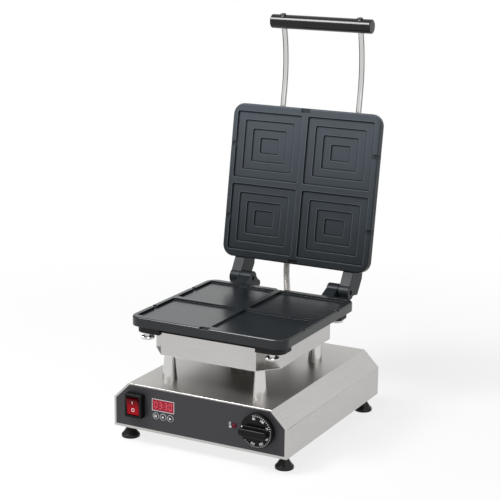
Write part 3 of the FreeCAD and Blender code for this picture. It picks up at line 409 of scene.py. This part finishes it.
def softened(node, width, segments, fold, cfg=softening):
    bm = bmesh.new()
    bm.from_mesh(frame["nodes"][node].data)
    bmesh.ops.remove_doubles(bm, verts=bm.verts, dist=cfg["weld"])
    bmesh.ops.dissolve_limit(bm, angle_limit=math.radians(cfg["flatAngle"]), verts=bm.verts, edges=bm.edges)
    if node in plateCentres:
        partCells(bm, plateCentres[node])
    if fold:
        roundEdges(bm, sharpEdges(bm, cfg["sharpAngle"], cfg["roomyFace"]), fold, cfg["foldSegments"])
    roundEdges(bm, sharpEdges(bm, cfg["sharpAngle"]), width, segments)
    name = node + "_soft"
    piece = addPiece(name, closeMesh(bm, name), bodyOf[node], finishOf(node), [node])
    evenShading = piece.modifiers.new("even shading", "WEIGHTED_NORMAL")
    evenShading.keep_sharp = True


camera = {"focal": 1496.2, "azimuth": 27.85, "pitch": 13.88, "roll": 0.63, "side": -84.3, "height": -334.3,
          "distance": 2422.6, "sensor": 36.0, "imageWidth": 500, "setback": 212.0}


def setCamera(cfg):
    eye = bpy.data.objects.new("camera", bpy.data.cameras.new("camera"))
    bpy.context.scene.collection.objects.link(eye)
    turn, tip, roll = (math.radians(cfg[key]) for key in ("azimuth", "pitch", "roll"))
    back = Vector((math.sin(turn) * math.cos(tip), -math.cos(turn) * math.cos(tip), math.sin(tip)))
    right = Vector((math.cos(turn), math.sin(turn), 0))
    up = back.cross(right)
    rolledRight = right * math.cos(roll) + up * math.sin(roll)
    rolledUp = up * math.cos(roll) - right * math.sin(roll)
    spot = back * cfg["distance"] - rolledRight * cfg["side"] - rolledUp * cfg["height"]
    spot.y -= cfg["setback"]
    eye.matrix_world = moved(*spot) @ Matrix((rolledRight, rolledUp, back)).transposed().to_4x4()
    eye.data.sensor_width = cfg["sensor"]
    eye.data.lens = cfg["focal"] * cfg["sensor"] / cfg["imageWidth"]
    bpy.context.scene.camera = eye
    return eye.data.lens


print("camera set, lens", round(setCamera(camera), 1))

conduit = {"route": [(0, 106, 119), (0, 106, 140), (-3.2, 112, 159.9), (-9.4, 123.3, 176.5),
                     (-17.7, 138.7, 188), (-24.8, 150.7, 204), (-30, 158.3, 223.7), (-30, 161.4, 243.5)],
           "diameter": 12.0, "groove": 1.1, "ribPitch": 3.0, "stepsPerRib": 6, "sides": 28,
           "smoothAngle": 80.0, "length": 0.146}  # the length in metres, the rest in millimetres


def wave(turns):
    return 0.5 - 0.5 * math.cos(2 * math.pi * turns)


def routePoints(route):
    line = bpy.data.curves.new("conduitRoute", "CURVE")
    line.dimensions = "3D"
    line.resolution_u = 24
    spline = line.splines.new("NURBS")
    spline.points.add(len(route) - 1)
    for point, place in zip(spline.points, route):
        point.co = (*(value * mm for value in place), 1)
    spline.order_u = 3
    spline.use_endpoint_u = True
    holder = bpy.data.objects.new("conduitRoute", line)
    bpy.context.scene.collection.objects.link(holder)
    bpy.context.view_layer.update()
    mesh = bpy.data.meshes.new_from_object(holder)
    points = [vertex.co.copy() for vertex in mesh.vertices]
    bpy.data.objects.remove(holder)
    return points


def evenSteps(points, pitch, stepsPerPitch):
    reach = [0.0]
    for here, there in zip(points, points[1:]):
        reach.append(reach[-1] + (there - here).length)
    count = round(reach[-1] / pitch) * stepsPerPitch
    found = []
    leg = 0
    for step in range(count + 1):
        goal = reach[-1] * step / count
        while leg < len(points) - 2 and reach[leg + 1] < goal:
            leg += 1
        share = (goal - reach[leg]) / (reach[leg + 1] - reach[leg])
        found.append(points[leg].lerp(points[leg + 1], share))
    return found, reach[-1]


def makeConduit(cfg):
    points, length = evenSteps(routePoints(cfg["route"]), cfg["ribPitch"] * mm, cfg["stepsPerRib"])
    bm = bmesh.new()
    heading = (points[1] - points[0]).normalized()
    stance = heading.to_track_quat("Z", "Y")
    rings = []
    for index, point in enumerate(points):
        ahead = points[min(index + 1, len(points) - 1)] - points[max(index - 1, 0)]
        stance = heading.rotation_difference(ahead.normalized()) @ stance
        heading = ahead.normalized()
        radius = (cfg["diameter"] / 2 - cfg["groove"] * (1 - wave(index / cfg["stepsPerRib"])) ** 2) * mm
        place = Matrix.Translation(point) @ stance.to_matrix().to_4x4()
        ring = bmesh.ops.create_circle(bm, segments=cfg["sides"], radius=radius, matrix=place)["verts"]
        rings.append(list({edge for vertex in ring for edge in vertex.link_edges}))
    for first, second in zip(rings, rings[1:]):
        bmesh.ops.bridge_loops(bm, edges=first + second)
    bmesh.ops.recalc_face_normals(bm, faces=bm.faces)
    mesh = closeMesh(bm, "conduit_hose", cfg["smoothAngle"])
    piece = bpy.data.objects.new("conduit_hose", mesh)
    bpy.context.scene.collection.objects.link(piece)
    mesh.materials.append(finishes["conduit_metal"])
    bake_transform(piece)
    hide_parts("flex_conduit")
    return length


print("conduit laid, length", round(makeConduit(conduit), 4))

softWidths = {
    "base_housing": (0.45, 2), "control_panel": (0.25, 1), "lower_tray": (0.5, 2), "upper_casing": (0.5, 2),
    "lower_baking_plate": (0.5, 3), "upper_baking_plate": (0.4, 3), "lower_heater_plate": (0.8, 2),
    "upper_heater_plate": (0.8, 2), "hinge_lug_left": (0.9, 3), "hinge_lug_right": (0.9, 3),
    "hinge_arm_left": (0.9, 3), "hinge_arm_right": (0.9, 3), "switch_housing": (0.4, 2),
    "switch_rocker": (0.6, 3), "cable_column": (0.4, 2), "rear_panel": (0.25, 1), "mains_gland": (0.6, 2),
    "thermostat_knob": (0.8, 3)}
foldWidths = {"base_housing": 1.6}
for node, (width, segments) in softWidths.items():
    softened(node, width, segments, foldWidths.get(node, 0.0))
print("edges softened on", len(softWidths), "pieces")


def newVerts(bm, known):
    return [vertex for vertex in bm.verts if vertex not in known]


def turned(bm, profile, steps, matrix, closed=False):
    known = set(bm.verts)
    verts = [bm.verts.new((radius * mm, 0, height * mm)) for radius, height in profile]
    edges = [bm.edges.new(pair) for pair in zip(verts, verts[1:])]
    if closed:
        edges.append(bm.edges.new((verts[-1], verts[0])))
    bmesh.ops.spin(bm, geom=verts + edges, cent=(0, 0, 0), axis=(0, 0, 1), dvec=(0, 0, 0), angle=2 * math.pi,
                   steps=steps, use_merge=True)
    bmesh.ops.remove_doubles(bm, verts=newVerts(bm, known), dist=joinWithin)
    made = newVerts(bm, known)
    bmesh.ops.recalc_face_normals(bm, faces=list({face for vertex in made for face in vertex.link_faces}))
    bmesh.ops.transform(bm, matrix=matrix, verts=made)
    return made


ink = {"depth": 0.12, "thinDepth": 0.1, "fatten": 0.03, "ringSteps": 48}


def thinSlab(bm, known, place, depth):
    lifted = bmesh.ops.extrude_face_region(bm, geom=newVerts(bm, known)[0].link_faces[:])["geom"]
    top = [item for item in lifted if isinstance(item, bmesh.types.BMVert)]
    bmesh.ops.translate(bm, verts=top, vec=place.to_3x3() @ Vector((0, 0, depth * mm)))


def inkShape(bm, sides, size, place, depth=ink["depth"], turnBy=0.0):
    known = set(bm.verts)
    matrix = place @ Matrix.Rotation(turnBy, 4, "Z") @ Matrix.Diagonal((size[0] * mm, size[1] * mm, 1, 1))
    bmesh.ops.create_circle(bm, cap_ends=True, segments=sides, radius=1.0, matrix=matrix)
    thinSlab(bm, known, place, depth)


def inkBar(bm, width, height, place, depth=ink["depth"]):
    known = set(bm.verts)
    bmesh.ops.create_grid(bm, x_segments=1, y_segments=1, size=0.5,
                          matrix=place @ Matrix.Diagonal((width * mm, height * mm, 1, 1)))
    thinSlab(bm, known, place, depth)


def inkRing(bm, radius, width, place, depth=ink["depth"]):
    profile = [(radius, 0), (radius + width, 0), (radius + width, depth), (radius, depth)]
    turned(bm, profile, ink["ringSteps"], place, True)


def inkWord(bm, text, size, place):
    letters = bpy.data.curves.new("letters", "FONT")
    letters.body = text
    letters.size = size * mm
    letters.extrude = ink["depth"] * mm / 2
    letters.offset = size * mm * ink["fatten"]
    letters.align_x = "CENTER"
    letters.align_y = "CENTER"
    holder = bpy.data.objects.new("letters", letters)
    bpy.context.scene.collection.objects.link(holder)
    bpy.context.view_layer.update()
    mesh = bpy.data.meshes.new_from_object(holder)
    bpy.data.objects.remove(holder)
    mesh.transform(place)
    bm.from_mesh(mesh)


def printed(name, bm, body, finish):
    bmesh.ops.recalc_face_normals(bm, faces=bm.faces)
    addPiece(name, closeMesh(bm, name), body, finish)


def onFront(x, y, z):
    return moved(x, y, z) @ faceFront


screws = {"thread": 3.0, "threadTop": 15.5, "hub": 5.0, "hubTop": -0.3, "head": 11.25, "headTop": -6.3,
          "headBottom": -10.3, "ease": 0.4, "edge": 0.6, "dish": 4.2, "dishFloor": 3.6, "dishDeep": 0.5,
          "flutes": 36, "stepsPerFlute": 4, "fluteDepth": 0.5, "x": 115.0,
          "lowerZ": 184.0, "lowerY": {"front": -178.0, "rear": 64.0},
          "upperZ": 28.5, "upperY": {"front": -294.0, "rear": -52.0}}


def screwProfile(cfg):
    thread, hub, head, ease, edge = (cfg[key] for key in ("thread", "hub", "head", "ease", "edge"))
    start, hubTop, top, bottom = (cfg[key] for key in ("threadTop", "hubTop", "headTop", "headBottom"))
    floor = bottom + cfg["dishDeep"]
    return [(0, start), (thread - ease, start), (thread, start - ease), (thread, hubTop),
            (hub - ease, hubTop), (hub, hubTop - ease), (hub, top + ease), (hub + ease, top),
            (head - edge, top), (head, top - edge), (head, bottom + edge), (head - edge, bottom),
            (cfg["dish"], bottom), (cfg["dishFloor"], floor), (0, floor)]


def flutedScrew(cfg):
    bm = bmesh.new()
    steps = cfg["flutes"] * cfg["stepsPerFlute"]
    rim = (cfg["head"] - 2 * cfg["edge"]) * mm
    for vertex in turned(bm, screwProfile(cfg), steps, Matrix.Identity(4)):
        reach = vertex.co.xy.length
        if reach > rim:
            flute = math.atan2(vertex.co.y, vertex.co.x) / (2 * math.pi) * cfg["flutes"]
            vertex.co.xy *= (reach - cfg["fluteDepth"] * mm * wave(flute)) / reach
    return bm


def makeScrews(cfg):
    levels = {"lower": (Matrix.Identity(4), Matrix.Identity(4)),
              "upper": (lidOpen, Matrix.Rotation(math.pi, 4, "X"))}
    for level, (stand, flip) in levels.items():
        for end, y in cfg[level + "Y"].items():
            for side, sign in (("left", -1), ("right", 1)):
                name = f"{level}_thumb_screw_{end}_{side}"
                bm = flutedScrew(cfg)
                place = stand @ moved(sign * cfg["x"], y, cfg[level + "Z"]) @ flip
                bmesh.ops.transform(bm, matrix=place, verts=bm.verts)
                addPiece(name + "_fluted", closeMesh(bm, name), bodyOf[name], finishes["polished_steel"],
                         [name])


makeScrews(screws)
print("thumb screws turned")

feet = {"x": 144.0, "y": {"front": -187.0, "rear": 122.0}, "steps": 64,
        "bell": [(4.3, 10), (0, 10), (0, 0), (14.2, 0), (15.2, 0.5), (15.5, 1.4), (15.5, 4.0), (14.9, 5.4),
                 (12.7, 7.6), (10.7, 10.4), (8.8, 13.4), (7.3, 15.8), (6.7, 17.0), (6.7, 18.6), (6.3, 19),
                 (4.3, 19)]}


def makeFeet(cfg):
    for end, y in cfg["y"].items():
        for side, sign in (("left", -1), ("right", 1)):
            node = f"rubber_foot_{end}_{side}"
            bm = bmesh.new()
            turned(bm, cfg["bell"], cfg["steps"], moved(sign * cfg["x"], y, 0), True)
            addPiece(node + "_bell", closeMesh(bm, node), bodyOf[node], finishes["foot_rubber"],
                     [node])


makeFeet(feet)
print("feet turned")

dial = {"x": 111.0, "z": 67.0, "face": -223.22, "numbers": ("50", "100", "150", "200", "250", "300"),
        "firstNumber": 102.0, "numberTurn": 41.25, "numberRing": 20.9, "numberSize": 5.0,
        "ticks": 30, "ticksPerNumber": 5, "tickRing": 25.6, "tickWide": 0.95, "tickTall": (2.0, 2.8),
        "dotAngle": 170.0, "dotRing": 25.4, "dotSize": 1.5, "dotSides": 24}


def roundDial(centre, angle, ring):
    return centre @ Matrix.Rotation(math.radians(angle - 90), 4, "Z") @ Matrix.Translation((0, ring * mm, 0))


def makeDialPrint(cfg):
    bm = bmesh.new()
    centre = onFront(cfg["x"], cfg["face"], cfg["z"])
    for place, text in enumerate(cfg["numbers"]):
        angle = cfg["firstNumber"] - place * cfg["numberTurn"]
        inkWord(bm, text, cfg["numberSize"], roundDial(centre, angle, cfg["numberRing"]))
    for step in range(cfg["ticks"]):
        angle = cfg["firstNumber"] - step * cfg["numberTurn"] / cfg["ticksPerNumber"]
        tall = cfg["tickTall"][step % cfg["ticksPerNumber"] == 0]
        inkBar(bm, cfg["tickWide"], tall, roundDial(centre, angle, cfg["tickRing"]))
    inkShape(bm, cfg["dotSides"], [cfg["dotSize"]] * 2, roundDial(centre, cfg["dotAngle"], cfg["dotRing"]))
    printed("dial_print", bm, "knob", whiteInk)


makeDialPrint(dial)

timer = {"x": -65.0, "z": 74.7, "width": 40.0, "height": 18.5, "border": 1.0, "digit": (4.6, 10.4),
         "bar": 1.15, "barGap": 0.15, "barSides": 6, "pitch": 8.6, "colonRoom": 0.8, "colonRise": 2.2,
         "colonSize": (0.65, 0.65), "colonSides": 16, "time": (0, 3, 3, 0),
         "buttons": {"set": -78.7, "up": -65.0, "down": -51.3}, "buttonZ": 55.7, "buttonFace": -214.2,
         "ring": (5.1, 0.7), "menuBar": (4.6, 0.8), "menuRises": (-1.5, 0, 1.5), "arrow": (2.4, 2.4),
         "arrowSides": 3, "arrowTurn": {"up": 90, "down": -90}}
litBars = {0: "abcdef", 3: "abcdg"}  # bars a to f run clockwise from the top, and g is in the middle


def makeTimerFrame(cfg):
    bm = bmesh.new()
    half, tall = ((cfg[side] + cfg["border"]) / 2 for side in ("width", "height"))
    for sign in (-1, 1):
        inkBar(bm, cfg["width"] + 2 * cfg["border"], cfg["border"],
               onFront(cfg["x"], panelFace, cfg["z"] + sign * tall))
        inkBar(bm, cfg["border"], cfg["height"], onFront(cfg["x"] + sign * half, panelFace, cfg["z"]))
    for x in cfg["buttons"].values():
        inkRing(bm, *cfg["ring"], onFront(x, panelFace, cfg["buttonZ"]))
    printed("timer_frame_print", bm, "base", greyInk)


def makeTimerDigits(cfg):
    bm = bmesh.new()
    wide, high = cfg["digit"]
    bars = {"a": (0, high / 2, 0), "b": (wide / 2, high / 4, 90), "c": (wide / 2, -high / 4, 90),
            "d": (0, -high / 2, 0), "e": (-wide / 2, -high / 4, 90), "f": (-wide / 2, high / 4, 90),
            "g": (0, 0, 0)}
    middle = (len(cfg["time"]) - 1) / 2
    for place, number in enumerate(cfg["time"]):
        x = cfg["x"] + (place - middle) * cfg["pitch"] + math.copysign(cfg["colonRoom"], place - middle)
        for letter in litBars[number]:
            across, rise, angle = bars[letter]
            length = (wide if angle == 0 else high / 2) / 2 - cfg["barGap"]
            inkShape(bm, cfg["barSides"], (length, cfg["bar"] / 2),
                     onFront(x + across, panelFace, cfg["z"] + rise), ink["thinDepth"], math.radians(angle))
    for sign in (-1, 1):
        inkShape(bm, cfg["colonSides"], cfg["colonSize"],
                 onFront(cfg["x"], panelFace, cfg["z"] + sign * cfg["colonRise"]), ink["thinDepth"])
    printed("timer_digits", bm, "base", litRed)


def makeButtonPrints(cfg):
    for name, x in cfg["buttons"].items():
        bm = bmesh.new()
        centre = onFront(x, cfg["buttonFace"], cfg["buttonZ"])
        if name == "set":
            for rise in cfg["menuRises"]:
                inkBar(bm, *cfg["menuBar"], centre @ Matrix.Translation((0, rise * mm, 0)))
        else:
            inkShape(bm, cfg["arrowSides"], cfg["arrow"], centre, turnBy=math.radians(cfg["arrowTurn"][name]))
        printed(f"button_{name}_print", bm, f"button_{name}", whiteInk)


makeTimerFrame(timer)
makeTimerDigits(timer)
makeButtonPrints(timer)

heatMark = {"x": 59.6, "z": 66.0, "stem": (1.7, 7.4), "stemRise": 1.2, "bulb": (2.3, 2.3), "bulbSides": 20,
            "bulbRise": -2.9, "tick": (1.1, 0.5), "tickAcross": -1.9, "tickRises": (0.6, 2.2, 3.8)}


def makeHeatMark(cfg):
    bm = bmesh.new()
    inkBar(bm, *cfg["stem"], onFront(cfg["x"], panelFace, cfg["z"] + cfg["stemRise"]))
    inkShape(bm, cfg["bulbSides"], cfg["bulb"], onFront(cfg["x"], panelFace, cfg["z"] + cfg["bulbRise"]))
    for rise in cfg["tickRises"]:
        inkBar(bm, *cfg["tick"], onFront(cfg["x"] + cfg["tickAcross"], panelFace, cfg["z"] + rise))
    printed("heat_mark", bm, "base", greyInk)


makeHeatMark(heatMark)

rockerMarks = {"x": -116.0, "on": 75.6, "off": 62.4, "bar": (1.1, 5.4), "ring": (2.2, 0.8),
               "lookFrom": -300.0}


def makeRockerMarks(cfg):
    skin = bmesh.new()
    skin.from_mesh(frame["nodes"]["switch_rocker"].data)
    tree = BVHTree.FromBMesh(skin)
    skin.free()
    bm = bmesh.new()
    for mark in ("on", "off"):
        start = Vector((cfg["x"], cfg["lookFrom"], cfg[mark])) * mm
        spot, normal = tree.ray_cast(start, Vector((0, 1, 0)))[:2]
        place = Matrix.Translation(spot) @ normal.to_track_quat("Z", "Y").to_matrix().to_4x4()
        if mark == "on":
            inkBar(bm, *cfg["bar"], place, ink["thinDepth"])
        else:
            inkRing(bm, *cfg["ring"], place, ink["thinDepth"])
    printed("rocker_marks", bm, "rocker", whiteInk)


makeRockerMarks(rockerMarks)
print("dial, timer and switch printed")

glands = {"base_gland_conduit": {"node": "conduit_gland_base", "hexHeight": 7.0, "height": 16.0,
                                 "place": moved(0, 106, 103)},
          "lid_gland_conduit": {"node": "conduit_gland_lid", "hexHeight": 4.5, "height": 10.0,
                                "place": lidOpen @ moved(-30, -48, 40) @ faceBack}}
glandForm = {"hex": 10.0, "cap": 8.8, "bore": 4.5, "edge": 0.4, "edgeSegments": 2, "lap": 0.2, "neckIn": 1.4,
             "neckRise": 0.8, "shoulderRise": 1.3, "rimDrop": 1.6, "rimIn": 1.2, "steps": 48}


def makeGland(name, cfg, form):
    bm = bmesh.new()
    wide, tall = form["hex"] * mm, cfg["hexHeight"] * mm
    bmesh.ops.create_cone(bm, cap_ends=True, segments=6, radius1=wide, radius2=wide, depth=tall)
    bmesh.ops.translate(bm, verts=bm.verts, vec=(0, 0, tall / 2))
    roundEdges(bm, list(bm.edges), form["edge"], form["edgeSegments"])
    low, high, cap, bore = cfg["hexHeight"], cfg["height"], form["cap"], form["bore"]
    neck, foot = cap - form["neckIn"], low - form["lap"]
    turned(bm, [(bore, foot), (neck, foot), (neck, low + form["neckRise"]), (cap, low + form["shoulderRise"]),
                (cap, high - form["rimDrop"]), (cap - form["rimIn"], high), (bore, high)],
           form["steps"], Matrix.Identity(4), True)
    bmesh.ops.transform(bm, matrix=cfg["place"], verts=bm.verts)
    slot = slotOf[cfg["node"]]
    addPiece(name, closeMesh(bm, name), bodyOf[cfg["node"]], finishes[slot], [cfg["node"]])


for name, cfg in glands.items():
    makeGland(name, cfg, glandForm)
print("conduit glands made")

rivets = {"head": 3.2, "rise": 1.3, "rim": 0.15, "crown": (0.7, 0.75), "dimple": 1.2, "dimpleFloor": 0.9,
          "dimpleDeep": 0.5, "steps": 24, "y": 148.0,
          "rows": {32: (-148, -75, 0, 75, 148), 94: (-118, 0, 118)}}


def makeRivets(cfg):
    bm = bmesh.new()
    head, rise = cfg["head"], cfg["rise"]
    floor = rise - cfg["dimpleDeep"]
    profile = [(0, floor), (cfg["dimpleFloor"], floor), (cfg["dimple"], rise),
               (head * cfg["crown"][0], rise * cfg["crown"][1]), (head, cfg["rim"]), (head, 0), (0, 0)]
    for z, row in cfg["rows"].items():
        for x in row:
            turned(bm, profile, cfg["steps"], moved(x, cfg["y"], z) @ faceBack)
    addPiece("rear_rivets", closeMesh(bm, "rear_rivets"), "base", finishes["polished_steel"])


makeRivets(rivets)
print("rear rivets set")

for node, part in frame["nodes"].items():
    part.data.materials.clear()
    part.data.materials.append(finishOf(node))
print("finishes given to every piece")

studio = {"worldFill": 0.28, "floorSize": 16.0, "floorShades": (0.80, 0.82), "floorCloud": 3.0,
          "shadowNear": 0.20, "clearNear": 0.35, "clearFar": 1.3}


def seenByView(tap):  # one for rays that reach the view straight, mirrored or through glass
    rays = tap.tree.nodes.new("ShaderNodeLightPath").outputs
    straight, mirrored, through = (Tap(tap.tree, rays[f"Is {kind} Ray"])
                                   for kind in ("Camera", "Glossy", "Transmission"))
    return tap.node("Clamp", {}, {"Value": straight + mirrored + through})


def setSky(cfg):
    scene = bpy.context.scene
    scene.view_settings.view_transform = "Standard"
    scene.world = bpy.data.worlds.new("studio")
    scene.world.use_nodes = True
    tap = Tap(scene.world.node_tree)
    strength = seenByView(tap) * (1 - cfg["worldFill"]) + cfg["worldFill"]
    sky = tap.tree.nodes["Background"]
    sky.inputs["Color"].default_value = (1, 1, 1, 1)
    tap.tree.links.new(strength.socket, sky.inputs["Strength"])


def stageBoard(name, size, matrix):
    bm = bmesh.new()
    bmesh.ops.create_grid(bm, x_segments=1, y_segments=1, size=size / 2, matrix=matrix)
    mesh = bpy.data.meshes.new(name)
    bm.to_mesh(mesh)
    bm.free()
    board = bpy.data.objects.new(name, mesh)
    bpy.context.scene.collection.objects.link(board)
    return board


def layFloor(cfg):
    floor = stageBoard("floor", cfg["floorSize"], Matrix.Identity(4))
    made, tap, shader = finishNamed("pale floor", {"Roughness": 0.9, "Specular IOR Level": 0.1})
    cloud = grains(tap, objectPlace(tap), cfg["floorCloud"])
    dark, light = (grey(shade) for shade in cfg["floorShades"])
    joinUp(tap, shader, {"Base Color": blendShade(tap, cloud, dark, light)})
    spot = tap.node("TexCoord", out="Object")
    away = tap.node("VectorMath", {"operation": "LENGTH"}, {0: spot}, out="Value")
    fade = tap.node("MapRange", {"interpolation_type": "SMOOTHSTEP"},
                    {"Value": away, "From Min": cfg["clearNear"], "From Max": cfg["clearFar"],
                     "To Min": 1 - cfg["shadowNear"], "To Max": 1.0})
    white = tap.node("Emission", {}, {"Color": (1, 1, 1, 1), "Strength": 1.0})
    lit = Tap(tap.tree, shader.outputs[0])
    floorLook = tap.node("MixShader", {}, {0: seenByView(tap) * fade, 1: lit, 2: white})
    tap.tree.links.new(floorLook.socket, tap.tree.nodes["Material Output"].inputs["Surface"])
    floor.data.materials.append(made)


lamps = {"key": {"spot": (-1.3, -1.5, 2.7), "size": 1.0, "power": 68.0},
         "fill": {"spot": (2.2, -1.2, 1.6), "size": 1.8, "power": 8.0},
         "top": {"spot": (-0.35, -0.75, 1.65), "size": 0.9, "power": 16.0}}
lampAim = Vector((0, 0, 0.25))


def hangLamps(cfg):
    for name, lamp in cfg.items():
        light = bpy.data.lights.new(name, "AREA")
        light.size = lamp["size"]
        light.energy = lamp["power"]
        holder = bpy.data.objects.new(name, light)
        bpy.context.scene.collection.objects.link(holder)
        spot = Vector(lamp["spot"])
        facing = (lampAim - spot).to_track_quat("-Z", "Y").to_matrix().to_4x4()
        holder.matrix_world = Matrix.Translation(spot) @ facing


flags = {"left": {"spot": (-1.6, 0.2, 0.3), "width": 1.6}, "right": {"spot": (1.3, 0.95, 0.3), "width": 0.8},
         "rear": {"spot": (0.17, 1.6, 0.3), "width": 0.36}}
felt = {"tall": 0.6, "grain": 40.0, "shades": (0.01, 0.02)}


def standFlags(cfg, cloth):  # dark boards that only reflections show
    made, tap, shader = finishNamed("black studio felt", {"Specular IOR Level": 0.0})
    cloud = grains(tap, objectPlace(tap), cloth["grain"])
    dark, light = (grey(shade) for shade in cloth["shades"])
    joinUp(tap, shader, {"Base Color": blendShade(tap, cloud, dark, light)})
    for name, flag in cfg.items():
        spot = Vector(flag["spot"])
        face = Vector((spot.x, spot.y, 0)).to_track_quat("Z", "Y").to_matrix().to_4x4()
        stretch = Matrix.Diagonal((flag["width"], cloth["tall"], 1, 1))
        board = stageBoard("flag_" + name, 1.0, Matrix.Translation(spot) @ face @ stretch)
        board.data.materials.append(made)
        for ray in ("camera", "diffuse", "shadow", "transmission"):
            setattr(board, "visible_" + ray, False)


setSky(studio)
layFloor(studio)
hangLamps(lamps)
standFlags(flags, felt)
print("studio lit")
